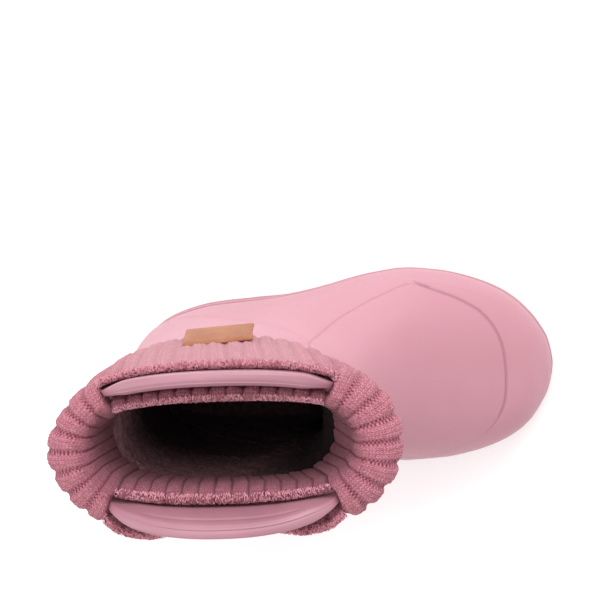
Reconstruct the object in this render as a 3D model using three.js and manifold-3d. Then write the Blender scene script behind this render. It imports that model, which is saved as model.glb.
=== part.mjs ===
// Child's winter rubber boot, left foot: a one-piece moulded shell with two pull
// handles, a lugged outsole, an insole, a ribbed knit collar folded over the rim,
// and a small bare leather tag. Millimetres, +X to the toe, +Y to the left, +Z up.
// The origin is on the ground under the middle of the heel.
import * as THREE from 'three';
import Module from 'manifold-3d';
import { mergeVertices } from 'three/addons/utils/BufferGeometryUtils.js';

const wasm = await Module();
wasm.setup();

// Driving dimensions of the last
const soleLength = 185;
const ballWidth = 85;
const heelWidth = 62;
const shaftWidth = 64;
const toeHeight = 43;
const instepHeight = 100;
const shaftHeight = 156;
const heelCentre = 30;

// Heights of the line where upper and outsole meet
const heelJoint = 16.5;
const archJoint = 16;
const ballJoint = 13.5;
const toeJoint = 17;

// Shell
const wall = 4;
const clearance = 0.3;
const grooveWidth = 1.7;
const grooveSides = 4;

// Pull handles
const handleRise = 21;
const handleThickness = 6;
const handleLean = 3;
const medialLean = 4.5;
const handleFlare = 3;
const handleRoot = 9;
const handleBack = 0.18;
const handleFront = 0.817;

// Outsole
const lugDepth = 3.6;
const channelWidth = 4.2;
const archLift = 4.5;
const toeSpring = 8.5;
const sideStepDepth = 1.3;
const soleOverhang = 0.2;

// Insole
const insoleThickness = 3.5;
const insoleInset = 0.9;

// Knit collar
const ribCount = 42;
const ribDepth = 1.2;
const knitThickness = 3.6;
const hemDrop = 35;
const crestRise = 7;
const linerDrop = 22;
const foldFullness = 1;
const slitClearance = 0.6;
const linerSlack = 1;

// Leather tag
const tagLength = 29.5;
const tagHeight = 17.5;
const tagThickness = 1.6;
const tagAround = 0.24;
const tagAboveHem = 2;

// Mesh steps
const mergeDistance = 0.0001;
const sectionSteps = 36;
const roundSteps = 28;
const outlineSteps = 30;

// One row for each fan section, from the toe tip round the heel and up the shaft.
// seat and crown: X of the section's low and high ends, as shares of soleLength.
// lift: height of the low end, 0 at the joint line and 1 at the shaft rim.
// climb: height of the high end: 0 to 1 joint line to toeHeight, 1 to 2 on to
// instepHeight, 2 to 3 on to shaftHeight.
// lateral, medial: widest half widths, and footLateral, footMedial: half widths at
// the low end, all as shares of the row group's width.
// ridge: Y of the high end as a share of that width. widest: where the section is
// widest, as a share of its length. full: superellipse exponent.
const rowNames = ['seat', 'lift', 'crown', 'climb', 'lateral', 'medial',
  'footLateral', 'footMedial', 'ridge', 'widest', 'full'];

const toeRows = [
  [1.000, 0, 1.000, 0.00, 0.001, 0.001, 0.000, 0.000, -0.010, 0.30, 2.3],
  [0.992, 0, 0.993, 0.36, 0.110, 0.108, 0.107, 0.106, -0.010, 0.35, 2.3],
  [0.973, 0, 0.973, 0.62, 0.198, 0.195, 0.191, 0.188, -0.010, 0.28, 2.3],
  [0.941, 0, 0.941, 0.86, 0.291, 0.289, 0.280, 0.278, -0.007, 0.25, 2.3],
  [0.895, 0, 0.895, 1.00, 0.378, 0.366, 0.363, 0.352, 0.000, 0.24, 2.3],
  [0.816, 0, 0.816, 1.12, 0.459, 0.435, 0.440, 0.417, 0.010, 0.20, 2.25],
  [0.735, 0, 0.735, 1.25, 0.506, 0.469, 0.485, 0.449, 0.020, 0.17, 2.2],
  [0.654, 0, 0.659, 1.40, 0.523, 0.474, 0.502, 0.454, 0.024, 0.15, 2.15],
  [0.573, 0, 0.611, 1.535, 0.502, 0.441, 0.482, 0.422, 0.018, 0.15, 2.1],
];

const heelRows = [
  [0.476, 0, 0.584, 1.658, 0.630, 0.532, 0.598, 0.500, 0.016, 0.18, 2.15],
  [0.378, 0, 0.566, 1.763, 0.578, 0.503, 0.540, 0.466, 0.008, 0.21, 2.2],
  [0.281, 0, 0.557, 1.842, 0.548, 0.497, 0.514, 0.466, 0, 0.27, 2.25],
  [0.195, 0, 0.552, 1.900, 0.536, 0.498, 0.494, 0.457, 0, 0.34, 2.3],
  [0.119, 0, 0.550, 1.944, 0.530, 0.502, 0.440, 0.415, 0, 0.40, 2.35],
  [0.065, 0, 0.549, 1.975, 0.525, 0.506, 0.363, 0.348, 0, 0.44, 2.4],
  [0.027, 0, 0.548, 2.000, 0.520, 0.508, 0.250, 0.242, 0, 0.46, 2.45],
  [0.007, 0, 0.547, 2.018, 0.516, 0.510, 0.131, 0.129, 0, 0.47, 2.45],
  [0.000, 0, 0.547, 2.029, 0.513, 0.511, 0, 0, 0, 0.48, 2.45],
];

const shaftRows = [
  [-0.002, 0.082, 0.546, 2.046, 0.494, 0.494, 0, 0, 0, 0.49, 2.45],
  [0.000, 0.197, 0.546, 2.068, 0.494, 0.494, 0, 0, 0, 0.50, 2.45],
  [0.006, 0.326, 0.546, 2.090, 0.494, 0.494, 0, 0, 0, 0.50, 2.45],
  [0.010, 0.455, 0.546, 2.112, 0.492, 0.492, 0, 0, 0, 0.50, 2.45],
  [0.009, 0.563, 0.547, 2.137, 0.492, 0.492, 0, 0, 0, 0.50, 2.45],
  [0.005, 0.670, 0.548, 2.179, 0.494, 0.494, 0, 0, 0, 0.50, 2.45],
  [0.001, 0.753, 0.554, 2.384, 0.500, 0.500, 0, 0, 0, 0.50, 2.45],
  [-0.008, 0.835, 0.568, 2.589, 0.497, 0.497, 0, 0, 0, 0.50, 2.4],
  [-0.018, 0.918, 0.589, 2.795, 0.481, 0.481, 0, 0, 0, 0.50, 2.4],
  [-0.027, 1.000, 0.614, 3.000, 0.461, 0.461, 0, 0, 0, 0.50, 2.4],
];

const openRows = toeRows.length + heelRows.length - 1;
const rimRow = openRows + shaftRows.length;

// Moulded lines across the toe cap and the vamp: row number in the table above,
// and turn from the section's widest point (0) to its crown (1) or foot (-1)
const capLine = [
  [6.80, -0.75], [6.72, -0.20], [6.66, 0.10], [6.58, 0.25], [5.97, 0.35], [5.29, 0.415],
  [4.74, 0.495], [4.36, 0.625], [4.12, 0.78], [4.04, 0.90], [4.02, 1.00],
];
const vampLine = [
  [24.6, 0.50], [21.5, 0.46], [18, 0.44], [14.5, 0.437], [12.45, 0.435], [10.8, 0.407],
  [9.36, 0.372], [8.40, 0.362], [7.57, 0.342], [6.80, 0.28],
];

// Monotone cubic through values at whole numbers
function smoothAt(values, at) {
  const last = values.length - 1;
  const cell = Math.min(Math.max(Math.floor(at), 0), last - 1);
  const step = (i) => values[i + 1] - values[i];
  const slope = (i) => {
    if (i === 0) return (3 * step(0) - step(1)) / 2;
    if (i === last) return (3 * step(last - 1) - step(last - 2)) / 2;
    const before = step(i - 1);
    const after = step(i);
    return before * after <= 0 ? 0 : (2 * before * after) / (before + after);
  };
  const u = Math.min(Math.max(at - cell, 0), 1);
  const start = values[cell];
  const end = values[cell + 1];
  const rise = end - start;
  const bend = u * u * (3 - 2 * u);
  return start + rise * bend
    + slope(cell) * u * (1 - u) * (1 - u)
    - slope(cell + 1) * u * u * (1 - u);
}

function blend(low, high, share) {
  return low + (high - low) * share;
}

function easeBetween(start, end, x) {
  const u = Math.min(Math.max((x - start) / (end - start), 0), 1);
  return u * u * (3 - 2 * u);
}

// Height of the joint line at a share of the sole length
function jointHeight(along) {
  const back = blend(heelJoint, archJoint, easeBetween(0, 0.35, along));
  const middle = blend(back, ballJoint, easeBetween(0.35, 0.65, along));
  return blend(middle, toeJoint, easeBetween(0.72, 1, along));
}

function climbHeight(climb) {
  if (climb <= 1) return blend(toeJoint, toeHeight, climb);
  if (climb <= 2) return blend(toeHeight, instepHeight, climb - 1);
  return blend(instepHeight, shaftHeight, climb - 2);
}

const fan = [[toeRows, ballWidth], [heelRows, heelWidth], [shaftRows, shaftWidth]]
  .flatMap(([rows, width]) => rows.map((cells) => {
    const row = Object.fromEntries(rowNames.map((name, i) => [name, cells[i]]));
    return {
      seatX: row.seat * soleLength,
      lift: row.lift,
      crownX: row.crown * soleLength,
      crownZ: climbHeight(row.climb),
      lateral: row.lateral * width,
      medial: row.medial * width,
      footLateral: row.footLateral * width,
      footMedial: row.footMedial * width,
      ridge: row.ridge * width,
      widest: row.widest,
      full: row.full,
    };
  }));

const fanColumns = Object.fromEntries(
  Object.keys(fan[0]).map((name) => [name, fan.map((row) => row[name])]));

function sectionAt(row) {
  const section = Object.fromEntries(
    Object.entries(fanColumns).map(([name, values]) => [name, smoothAt(values, row)]));
  const joint = jointHeight(section.seatX / soleLength);
  section.seatZ = blend(joint, shaftHeight, section.lift);
  return section;
}

// Point of the outer surface: turn runs from -1 at the foot to 1 at the crown,
// side is 1 for lateral and -1 for medial
function sectionPoint(section, side, turn) {
  const half = side > 0 ? section.lateral : section.medial;
  const foot = side > 0 ? section.footLateral : section.footMedial;
  const power = 2 / section.full;
  const footAngle = Math.acos(Math.min(foot / half, 1) ** (1 / power));
  const angle = turn >= 0 ? turn * Math.PI / 2 : -turn * footAngle;
  const reach = Math.abs(Math.cos(angle)) ** power;
  const swing = Math.sin(angle) ** power;
  const footSwing = Math.sin(footAngle) ** power || 1;
  const share = turn >= 0
    ? blend(section.widest, 1, swing)
    : section.widest * (1 - swing / footSwing);
  const shift = turn >= 0 ? section.ridge * swing : 0;
  return new THREE.Vector3(
    blend(section.seatX, section.crownX, share),
    side * half * (turn === 1 ? 0 : reach) + shift,
    blend(section.seatZ, section.crownZ, share));
}

// Turns of one section from the lateral foot over the crown to the medial foot
function roundTurns(steps) {
  const low = Math.round(steps * 0.18);
  const high = steps / 2 - low;
  const half = [];
  for (let i = 0; i < low; i++) half.push([1, -1 + i / low]);
  for (let i = 0; i < high; i++) half.push([1, i / high]);
  const back = half.map(([, turn]) => [-1, turn]).reverse();
  return [...half, [1, 1], ...back];
}

// Rows of the mesh, closer together at the toe tip
function meshRows(steps, lastRow) {
  const toeEnd = 4;
  const toeSteps = Math.round(steps * 0.2);
  const rows = [];
  for (let i = 0; i < toeSteps; i++) rows.push(toeEnd * i / toeSteps);
  const rest = steps - toeSteps;
  for (let i = 0; i <= rest; i++) rows.push(blend(toeEnd, lastRow, i / rest));
  return rows;
}

function surfacePoint(row, side, turn) {
  return sectionPoint(sectionAt(row), side, turn);
}

// Leaves out the triangles that merging has closed up
function withoutSlivers(geometry) {
  const index = geometry.getIndex().array;
  const kept = [];
  for (let i = 0; i < index.length; i += 3) {
    const [a, b, c] = [index[i], index[i + 1], index[i + 2]];
    if (a !== b && b !== c && c !== a) kept.push(a, b, c);
  }
  geometry.setIndex(kept);
  return geometry;
}

// Closed geometry from triangles, its faces turned to point outwards
function closedGeometry(triangles) {
  let volume = 0;
  for (const [a, b, c] of triangles) volume += a.dot(b.clone().cross(c));
  const positions = [];
  for (const [a, b, c] of triangles) {
    const order = volume > 0 ? [a, b, c] : [a, c, b];
    for (const point of order) positions.push(point.x, point.y, point.z);
  }
  const geometry = new THREE.BufferGeometry();
  geometry.setAttribute('position', new THREE.Float32BufferAttribute(positions, 3));
  return withoutSlivers(mergeVertices(geometry, mergeDistance));
}

function quad(a, b, c, d) {
  return [[a, b, c], [a, c, d]];
}

// Skin through closed rings with as many points each. The two end rings are closed
// by strips from side to side, unless the last ring joins the first.
function loftGeometry(rings, joined = false) {
  const triangles = [];
  const count = rings[0].length;
  const last = joined ? rings.length : rings.length - 1;
  for (let i = 0; i < last; i++) {
    const ring = rings[i];
    const next = rings[(i + 1) % rings.length];
    for (let j = 0; j < count; j++) {
      const k = (j + 1) % count;
      triangles.push(...quad(ring[j], next[j], next[k], ring[k]));
    }
  }
  if (!joined) {
    const cap = (ring, turned) => {
      for (let j = 0; 2 * j < count; j++) {
        const four = [ring[j], ring[(j + 1) % count],
          ring[(2 * count - j - 1) % count], ring[(count - j) % count]];
        if (turned) four.reverse();
        triangles.push(...quad(...four));
      }
    };
    cap(rings[0], false);
    cap(rings[rings.length - 1], true);
  }
  return closedGeometry(triangles);
}

function toSolid(geometry) {
  return new wasm.Manifold(new wasm.Mesh({
    numProp: 3,
    vertProperties: new Float32Array(geometry.getAttribute('position').array),
    triVerts: new Uint32Array(geometry.getIndex().array),
  }));
}

function toGeometry(solid) {
  const mesh = solid.getMesh();
  const geometry = new THREE.BufferGeometry();
  geometry.setAttribute('position', new THREE.BufferAttribute(mesh.vertProperties, 3));
  geometry.setIndex(new THREE.BufferAttribute(mesh.triVerts, 1));
  return geometry;
}

// Point of the shell's inner skin, a wall's thickness inside the outer one
function innerPoint(outer, closed, i, j) {
  const loop = outer[i];
  const last = loop.length - 1;
  const seam = closed && (j === 0 || j === last);
  const middle = (row) => row[0].clone().add(row[last]).multiplyScalar(0.5);
  const later = outer[Math.min(i + 1, outer.length - 1)];
  const along = seam
    ? middle(later).sub(middle(outer[i - 1]))
    : later[j].clone().sub(outer[i - 1][j]);
  const ahead = seam ? 1 : Math.min(j + 1, last);
  const behind = seam ? last - 1 : Math.max(j - 1, 0);
  const across = loop[ahead].clone().sub(loop[behind]);
  const point = loop[j].clone().addScaledVector(along.cross(across).normalize(), -wall);
  const foot = !closed && (j === 0 || j === last);
  return foot ? point.setZ(jointHeight(point.x / soleLength)) : point;
}

// The moulded shell: an outer and an inner skin, open underneath and at the rim
function shellGeometry() {
  const turns = roundTurns(roundSteps);
  const rows = meshRows(sectionSteps, rimRow);
  const closed = rows.map((row) => row >= openRows);
  const tip = surfacePoint(0, 1, -1);
  const outer = rows.map((row, i) => {
    const section = sectionAt(row);
    return turns.map(([side, turn]) => (
      i === 0 ? tip.clone() : sectionPoint(section, side, turn)));
  });
  const inner = outer.map((loop, i) => loop.map((point, j) => (
    i === 0 ? tip.clone().setX(tip.x - wall) : innerPoint(outer, closed[i], i, j))));
  const triangles = [];
  const lastRow = rows.length - 1;
  const lastTurn = turns.length - 1;
  for (let i = 0; i < lastRow; i++) {
    const [low, high] = [outer[i], outer[i + 1]];
    const [lowInner, highInner] = [inner[i], inner[i + 1]];
    for (let j = 0; j < lastTurn; j++) {
      triangles.push(...quad(low[j], high[j], high[j + 1], low[j + 1]));
      triangles.push(...quad(lowInner[j], lowInner[j + 1], highInner[j + 1], highInner[j]));
    }
    if (!closed[i]) {
      triangles.push(...quad(low[0], lowInner[0], highInner[0], high[0]));
      triangles.push(...quad(low[lastTurn], high[lastTurn],
        highInner[lastTurn], lowInner[lastTurn]));
    }
  }
  const [rim, rimInner] = [outer[lastRow], inner[lastRow]];
  for (let j = 0; j < lastTurn; j++) {
    triangles.push(...quad(rim[j], rimInner[j], rimInner[j + 1], rim[j + 1]));
  }
  return closedGeometry(triangles);
}

// Shares of the way round the rim, from the back along the lateral side, for even
// steps of its length
const rimSteps = 240;
const rimWalk = (() => {
  const section = sectionAt(rimRow);
  const walk = [];
  let length = 0;
  let before = null;
  for (let i = 0; i <= rimSteps; i++) {
    const side = i <= rimSteps / 2 ? 1 : -1;
    const turn = 1 - Math.abs(1 - 2 * i / rimSteps) * 2;
    const point = sectionPoint(section, side, turn);
    if (before) length += point.distanceTo(before);
    walk.push({ side, turn, length });
    before = point;
  }
  return walk;
})();

function rimTurn(around) {
  const share = around - Math.floor(around);
  const target = share * rimWalk[rimSteps].length;
  const next = Math.max(rimWalk.findIndex((step) => step.length >= target), 1);
  const [a, b] = [rimWalk[next - 1], rimWalk[next]];
  const part = (target - a.length) / (b.length - a.length);
  const side = share <= 0.5 ? 1 : -1;
  return [side, blend(a.turn, b.turn, part)];
}

// Place on the shaft's outer skin and the level way out from it
const shaftRowHeight = (shaftHeight - instepHeight) * 0.2053;
function shaftFrame(around, height) {
  const level = Math.min(height, shaftHeight);
  const section = sectionAt(rimRow - (shaftHeight - level) / shaftRowHeight);
  const step = 0.004;
  const [here, ahead, behind] = [around, around + step, around - step]
    .map((share) => sectionPoint(section, ...rimTurn(share)));
  const out = new THREE.Vector3(behind.y - ahead.y, ahead.x - behind.x, 0).normalize();
  const centre = new THREE.Vector3((section.seatX + section.crownX) / 2, 0, here.z);
  if (out.dot(here.clone().sub(centre)) < 0) out.negate();
  return { point: here.setZ(level), out };
}

function shaftPoint(around, offset, height) {
  const { point, out } = shaftFrame(around, height);
  return point.addScaledVector(out, offset).setZ(height);
}

// Pull handles: the side walls carried on above the rim, leaning outwards.
// Columns: height, where -1 is the root, 0 the rim and 1 the crest, and the distance
// out from the shaft's outer skin, as a share of handleThickness.
const handleProfile = [
  [-1.0, -0.12], [0.0, -0.02], [0.12, 0.10], [0.50, 0.14], [0.92, 0.10], [1.0, -0.12],
  [1.0, -0.62], [0.92, -0.84], [0.50, -0.86], [0.12, -0.80], [0.0, -0.62], [-1.0, -0.55],
];
// Outline of the slit that a handle passes through, in the same columns
const slitProfile = [
  [-1.0, 0.14], [0.12, 0.14], [0.50, 0.14], [1.0, 0.14],
  [1.0, -0.86], [0.50, -0.86], [0.12, -0.86], [-1.0, -0.86],
];
const handleArch = 2.2;
const handleEndRise = 1;
const handleSteps = 16;
const slitSteps = 10;

// Arch height along a handle, from -1 to 1
function handleCrest(along) {
  const arch = (1 - Math.abs(along) ** handleArch) ** (1 / handleArch);
  return blend(handleEndRise, handleRise, arch);
}

function handlePoint(mirror, along, skin, height) {
  const share = blend(handleBack, handleFront, (along + 1) / 2) / 2;
  const crestLean = mirror ? medialLean : handleLean;
  const lean = crestLean * (Math.max(height, 0) / handleRise) ** 1.6;
  const flare = handleFlare * Math.abs(along) ** 2.5 * easeBetween(-4, 3, height);
  const around = mirror ? 1 - share : share;
  return shaftPoint(around, skin * handleThickness + lean + flare, shaftHeight + height);
}

function handleGeometry(mirror) {
  const rings = [];
  for (let i = 0; i <= handleSteps; i++) {
    const along = blend(-1, 1, i / handleSteps);
    const crest = handleCrest(along);
    rings.push(handleProfile.map(([level, skin]) => (
      handlePoint(mirror, along, skin, level < 0 ? level * handleRoot : level * crest))));
  }
  return loftGeometry(rings);
}

function slitGeometry(mirror) {
  const end = 1 + slitClearance / handleHalfLength();
  const spare = slitClearance / handleThickness;
  const rings = [];
  for (let i = 0; i <= slitSteps; i++) {
    const along = blend(-end, end, i / slitSteps);
    rings.push(slitProfile.map(([level, skin]) => {
      const side = skin > 0 ? spare : -spare;
      return handlePoint(mirror, along, skin + side, level * handleRise);
    }));
  }
  return loftGeometry(rings);
}

function handleHalfLength() {
  return rimWalk[rimSteps].length * (handleFront - handleBack) / 4;
}

// Groove cutter: a thin bar along a line of the outer skin
function grooveGeometry(places) {
  const bend = new THREE.CatmullRomCurve3(
    places.map(([row, turn, side]) => surfacePoint(row, side, turn)));
  const points = bend.getSpacedPoints(Math.round(places.length * 1.6));
  const rings = points.map((point, i) => {
    const ahead = points[Math.min(i + 1, points.length - 1)];
    const behind = points[Math.max(i - 1, 0)];
    const along = ahead.clone().sub(behind).normalize();
    const across = new THREE.Vector3(0, 0, 1).cross(along).normalize();
    if (across.lengthSq() < 0.5) across.set(1, 0, 0);
    const up = along.clone().cross(across).normalize();
    const ring = [];
    for (let k = 0; k < grooveSides; k++) {
      const angle = 2 * Math.PI * k / grooveSides;
      ring.push(point.clone()
        .addScaledVector(across, Math.cos(angle) * grooveWidth / 2)
        .addScaledVector(up, Math.sin(angle) * grooveWidth / 2));
    }
    return ring;
  });
  return loftGeometry(rings);
}

function upperGeometry() {
  let solid = toSolid(shellGeometry());
  for (const mirror of [false, true]) {
    solid = solid.add(toSolid(handleGeometry(mirror)));
  }
  const onSide = (line, side) => line.map(([row, turn]) => [row, turn, side]);
  const cap = [...onSide(capLine, 1), ...onSide(capLine, -1).reverse().slice(1)];
  const lines = [cap, onSide(vampLine, 1), onSide(vampLine, -1)];
  for (const line of lines) solid = solid.subtract(toSolid(grooveGeometry(line)));
  return toGeometry(solid);
}

// Outline of the shell's foot, moved out by a distance, from the toe tip along the
// lateral side to the heel and back along the medial side
function footRing(outset, heightAt) {
  const places = [];
  for (let i = 0; i <= outlineSteps; i++) {
    places.push(i * openRows / outlineSteps);
  }
  const plan = (side) => places.map((row) => {
    const section = sectionAt(row);
    const half = side > 0 ? section.footLateral : section.footMedial;
    return new THREE.Vector3(section.seatX, side * half, 0);
  });
  const ring = [...plan(1), ...plan(-1).reverse().slice(1, -1)];
  return ring.map((point, i) => {
    const ahead = ring[(i + 1) % ring.length];
    const behind = ring[(i + ring.length - 1) % ring.length];
    const out = new THREE.Vector3(ahead.y - behind.y, behind.x - ahead.x, 0).normalize();
    const moved = point.clone().addScaledVector(out, outset);
    return moved.setZ(heightAt(moved.x / soleLength));
  });
}

// Height of the tread: flat under heel and ball, raised at the arch and the toe
const heelEdgeRise = 2;
function treadHeight(along) {
  const arch = archLift * easeBetween(0.30, 0.37, along) * (1 - easeBetween(0.45, 0.52, along));
  const toe = toeSpring * Math.max((along - 0.78) / 0.22, 0) ** 2;
  const heel = heelEdgeRise * (1 - easeBetween(-0.01, 0.06, along));
  return arch + toe + heel;
}

// Side of the outsole from its top edge down. Columns: share of its height, and
// how far the side stands out, as a share of sideStepDepth
const soleSide = [
  [0.00, 0.2], [0.30, 0.0], [0.36, -0.9], [0.46, -0.9], [0.52, 0.0], [0.88, -0.8], [1.00, -1.7],
];

// Cross channels of the tread. Columns: place along the sole, and turn in degrees
const crossChannels = [
  [0.100, 4], [0.225, -4], [0.545, -6], [0.615, -3],
  [0.685, 0], [0.755, 4], [0.825, 8], [0.895, 12],
];
// Long channels of the tread. Columns: start and end along the sole, and distance
// from the middle as a share of ballWidth
const longChannels = [
  [0.02, 0.29, 0.16], [0.02, 0.29, -0.16], [0.52, 0.80, 0.20], [0.52, 0.80, -0.20],
];

function channelSolid(length, width, turn, place) {
  const channel = new THREE.BoxGeometry(length, width, 2 * lugDepth);
  channel.deleteAttribute('normal');
  channel.deleteAttribute('uv');
  const nudge = 0.01;
  const slope = (treadHeight(place.along + nudge) - treadHeight(place.along - nudge))
    / (2 * nudge * soleLength);
  channel.rotateY(-Math.atan(slope));
  channel.rotateZ(turn * Math.PI / 180);
  channel.translate(place.along * soleLength, place.across, treadHeight(place.along));
  return toSolid(mergeVertices(channel));
}

function outsoleGeometry() {
  const rings = soleSide.map(([share, out]) => footRing(
    soleOverhang + out * sideStepDepth,
    (along) => blend(jointHeight(along) - clearance, treadHeight(along), share)));
  let solid = toSolid(loftGeometry(rings));
  for (const [along, turn] of crossChannels) {
    const place = { along, across: 0 };
    solid = solid.subtract(channelSolid(channelWidth, 2 * ballWidth, turn, place));
  }
  for (const [start, end, across] of longChannels) {
    const place = { along: (start + end) / 2, across: across * ballWidth };
    const length = (end - start) * soleLength;
    solid = solid.subtract(channelSolid(length, channelWidth, 0, place));
  }
  return toGeometry(solid);
}

function insoleGeometry() {
  const inset = -(wall + insoleInset);
  const rings = [insoleThickness, 0].map((height) => footRing(
    inset, (along) => jointHeight(along) + height));
  return loftGeometry(rings);
}

// Middle of the knit wall, from the outer hem over the crest to the inner edge.
// level: height from the rim, as a share of the named drop or rise. skin: which
// face of the shell it follows. puff: share of the loose fold's fullness.
const knitRows = [
  { level: -hemDrop, skin: 0, puff: 0 },
  { level: -0.55 * hemDrop, skin: 0, puff: 0.55 },
  { level: -0.16 * hemDrop, skin: 0, puff: 0.95 },
  { level: 0.5 * crestRise, skin: 0, puff: 0.6 },
  { level: crestRise, skin: 0.5, puff: 0 },
  { level: 0.3 * crestRise, skin: 1, puff: 0.3 },
  { level: -0.4 * linerDrop, skin: 1, puff: 0.8 },
  { level: -linerDrop, skin: 1, puff: 1 },
];

// Fullness of the fold, outside and inside the shell: one value for each even step round
// the rim, from the back along the lateral side to the front and back along the medial
const outerFullness = [
  8, 4, 3.4, 2.6, 2.4, 2.4, 3, 6.6, 9.6, 8, 6, 4, 3, 3.4, 5.4, 7.6, 8,
];
const innerFullness = [
  1.2, 1.6, 2.2, 2.6, 2.8, 2.6, 2, 0.8, 0.2, 0.8, 2, 2.8, 3, 3, 2.6, 2, 1.2,
];

function outerPuff(around) {
  return foldFullness * smoothAt(outerFullness, around * (outerFullness.length - 1));
}

function innerPuff(around) {
  return foldFullness * smoothAt(innerFullness, around * (innerFullness.length - 1));
}

function knitCentre(around, { level, skin, puff }) {
  const seat = clearance + knitThickness / 2;
  const outer = seat + puff * outerPuff(around);
  const inner = -wall - linerSlack - seat - puff * innerPuff(around);
  const offset = skin === 0.5 ? -wall / 2 : (skin === 0 ? outer : inner);
  return [offset, shaftHeight + level];
}

function knitRing(around, raised) {
  const centres = knitRows.map((row) => knitCentre(around, row));
  const face = (away) => centres.map(([offset, height], i) => {
    const [nextOffset, nextHeight] = centres[Math.min(i + 1, centres.length - 1)];
    const [lastOffset, lastHeight] = centres[Math.max(i - 1, 0)];
    const [dx, dz] = [nextOffset - lastOffset, nextHeight - lastHeight];
    const length = Math.hypot(dx, dz);
    return shaftPoint(around, offset + away * dz / length, height - away * dx / length);
  });
  const outside = face(knitThickness / 2 + (raised ? ribDepth / 2 : -ribDepth / 2));
  const inside = face(-knitThickness / 2);
  return [...outside, ...inside.reverse()];
}

function collarGeometry() {
  const rings = [];
  for (let i = 0; i < 2 * ribCount; i++) {
    rings.push(knitRing((i + 0.5) / (2 * ribCount), i % 2 === 0));
  }
  let solid = toSolid(loftGeometry(rings, true));
  for (const mirror of [false, true]) {
    solid = solid.subtract(toSolid(slitGeometry(mirror)));
  }
  return toGeometry(solid);
}

// Leather tag on the collar's lateral side, just above the hem
function tagGeometry() {
  const steps = 8;
  const levels = 3;
  const rimLength = rimWalk[rimSteps].length;
  const rings = [];
  for (let i = 0; i <= steps; i++) {
    const around = tagAround + (i / steps - 0.5) * tagLength / rimLength;
    const face = (away) => {
      const points = [];
      for (let k = 0; k <= levels; k++) {
        const drop = hemDrop - tagAboveHem - tagHeight * k / levels;
        const lift = 1 - drop / hemDrop;
        const puff = outerPuff(around) * smoothAt([0, 0.45, 0.95], Math.min(lift / 0.39, 2));
        const offset = clearance * 2 + knitThickness + ribDepth + puff + away;
        points.push(shaftPoint(around, offset, shaftHeight - drop));
      }
      return points;
    };
    rings.push([...face(tagThickness), ...face(0).reverse()]);
  }
  return loftGeometry(rings);
}

const pieces = [
  ['upper', upperGeometry, 0xe8b2bf, 0.55],
  ['outsole', outsoleGeometry, 0xe0a6b4, 0.65],
  ['insole', insoleGeometry, 0x5a5256, 0.95],
  ['collar', collarGeometry, 0xd893a2, 0.95],
  ['tag', tagGeometry, 0xd79a72, 0.7],
];

const boot = new THREE.Group();
boot.name = 'rubber_boot';
for (const [name, makeGeometry, color, roughness] of pieces) {
  const material = new THREE.MeshStandardMaterial({ color, roughness, metalness: 0 });
  const mesh = new THREE.Mesh(makeGeometry(), material);
  mesh.name = name;
  mesh.position.x = -heelCentre;
  boot.add(mesh);
}

export default boot;
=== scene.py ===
"""Child's winter rubber boot, left foot: a moulded shell with pull handles, a lugged outsole,
a fleece lining and a ribbed knit collar folded over the rim, with a small bare leather tag."""
from math import pi, radians

import bmesh
import bpy
import numpy as np
from mathutils import Matrix, Vector


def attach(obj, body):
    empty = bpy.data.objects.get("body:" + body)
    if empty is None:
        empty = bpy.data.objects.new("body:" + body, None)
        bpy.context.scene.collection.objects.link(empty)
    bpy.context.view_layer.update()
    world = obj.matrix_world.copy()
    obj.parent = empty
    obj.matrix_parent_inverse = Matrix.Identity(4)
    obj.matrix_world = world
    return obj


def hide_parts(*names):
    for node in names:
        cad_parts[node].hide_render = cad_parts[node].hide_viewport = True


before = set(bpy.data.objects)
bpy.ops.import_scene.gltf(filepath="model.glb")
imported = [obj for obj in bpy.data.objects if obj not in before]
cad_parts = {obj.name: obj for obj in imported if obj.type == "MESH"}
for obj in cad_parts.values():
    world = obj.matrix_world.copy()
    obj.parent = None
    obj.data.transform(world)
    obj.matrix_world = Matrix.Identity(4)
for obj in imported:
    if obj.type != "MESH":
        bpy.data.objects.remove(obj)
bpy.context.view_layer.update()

MM = 0.001

# Sizes of the last in millimetres, as in the frame's own shell
SOLE_LENGTH = 185
BALL_WIDTH = 85
HEEL_WIDTH = 62
SHAFT_WIDTH = 64
TOE_HEIGHT = 43
INSTEP_HEIGHT = 100
SHAFT_HEIGHT = 156
HEEL_CENTRE = 30
HEEL_JOINT = 16.5
ARCH_JOINT = 16
BALL_JOINT = 13.5
TOE_JOINT = 17
WALL = 4
CLEARANCE = 0.3

# Pull handles
HANDLE_RISE = 21
HANDLE_THICKNESS = 6
HANDLE_LEAN = 3
MEDIAL_LEAN = 4.5
HANDLE_ROOT = 9
HANDLE_BACK = 0.18
HANDLE_FRONT = 0.817
HANDLE_ARCH = 2.2
HANDLE_END_RISE = 1
END_FLARE = 3.0

# Outsole
LUG_DEPTH = 3.6
CHANNEL_WIDTH = 4.2
ARCH_LIFT = 4.5
TOE_SPRING = 8.5
HEEL_EDGE_RISE = 2
SIDE_STEP_DEPTH = 1.3
SOLE_OVERHANG = 0.2
SIPE_PITCH = 0.0024

# Insole and lining
INSOLE_THICKNESS = 3.5
INSOLE_INSET = 0.9
FOOTBED_LIFT = 0.3
LINING_GAP = 0.4
LINING_THICKNESS = 6
LINING_TUCK = 3.2
LINING_WAVE = 0.45

# Knit collar
KNIT_THICKNESS = 2.4
RIB_COUNT = 42
RIB_DEPTH = 1.35
STITCH_WALES = 5
STITCH_PITCH = 1.35

# Tag
TAG_LENGTH = 29.5
TAG_HEIGHT = 17.5
TAG_THICKNESS = 1.7
TAG_BEVEL = 0.5
TAG_AROUND = 0.252
TAG_LEVELS = (-34.5, -15.5)
TAG_STAND = (8.0, 6.2)
TAG_SLOPE = 1.2

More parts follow.
